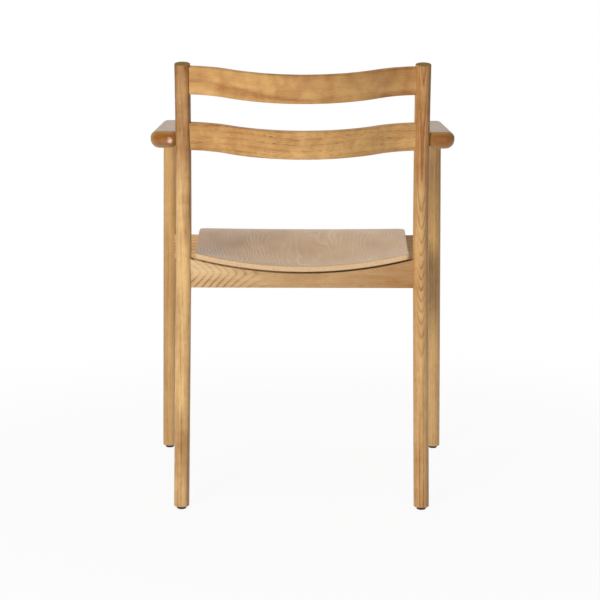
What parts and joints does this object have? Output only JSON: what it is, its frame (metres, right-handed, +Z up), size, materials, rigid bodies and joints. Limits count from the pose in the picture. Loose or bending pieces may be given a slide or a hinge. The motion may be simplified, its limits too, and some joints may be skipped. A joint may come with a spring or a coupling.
{
  "type": "dining armchair",
  "caption": "Wooden dining armchair with round legs, raked rear posts bent backward, bowed back slats, a dished plywood seat over a rail frame, and flat arms with softened edges.",
  "frame": {"origin": "on the floor, in the middle of the chair's width and depth", "axes": "+Z up, the sitter faces -Y, +X is the sitter's left"},
  "size_m": [0.5786, 0.5068, 0.8032],
  "materials": {
    "oak_posts": "satin lacquer over oak, grain along the post",
    "oak_legs": "satin lacquer over oak, grain along the leg",
    "oak_slats": "satin lacquer over bent oak, grain across the back",
    "oak_arms": "satin lacquer over oak, grain along the arm",
    "oak_rails": "satin lacquer over oak, grain along the rail",
    "oak_plywood_seat": "satin lacquer over oak-faced moulded plywood, grain front to back",
    "beech_blocks": "sawn and sanded beech",
    "beech_dowels": "turned beech",
    "steel_screws": "zinc-plated steel",
    "nylon_glides": "black moulded nylon",
    "steel_nails": "bright steel"
  },
  "bodies": {
    "root": {"rear_post_left": "oak_posts", "rear_post_right": "oak_posts", "front_leg_left": "oak_legs", "front_leg_right": "oak_legs", "top_slat": "oak_slats", "lower_slat": "oak_slats", "arm_left": "oak_arms", "arm_right": "oak_arms", "rear_rail": "oak_rails", "front_rail": "oak_rails", "side_rail_left": "oak_rails", "side_rail_right": "oak_rails", "seat_shell": "oak_plywood_seat", "corner_block_front_left": "beech_blocks", "corner_block_front_right": "beech_blocks", "corner_block_rear_left": "beech_blocks", "corner_block_rear_right": "beech_blocks", "arm_dowels": "beech_dowels", "block_screws": "steel_screws", "seat_screws": "steel_screws", "glide_rear_left": "nylon_glides", "glide_rear_right": "nylon_glides", "glide_front_left": "nylon_glides", "glide_front_right": "nylon_glides", "glide_nails": "steel_nails"}
  },
  "joints": []
}
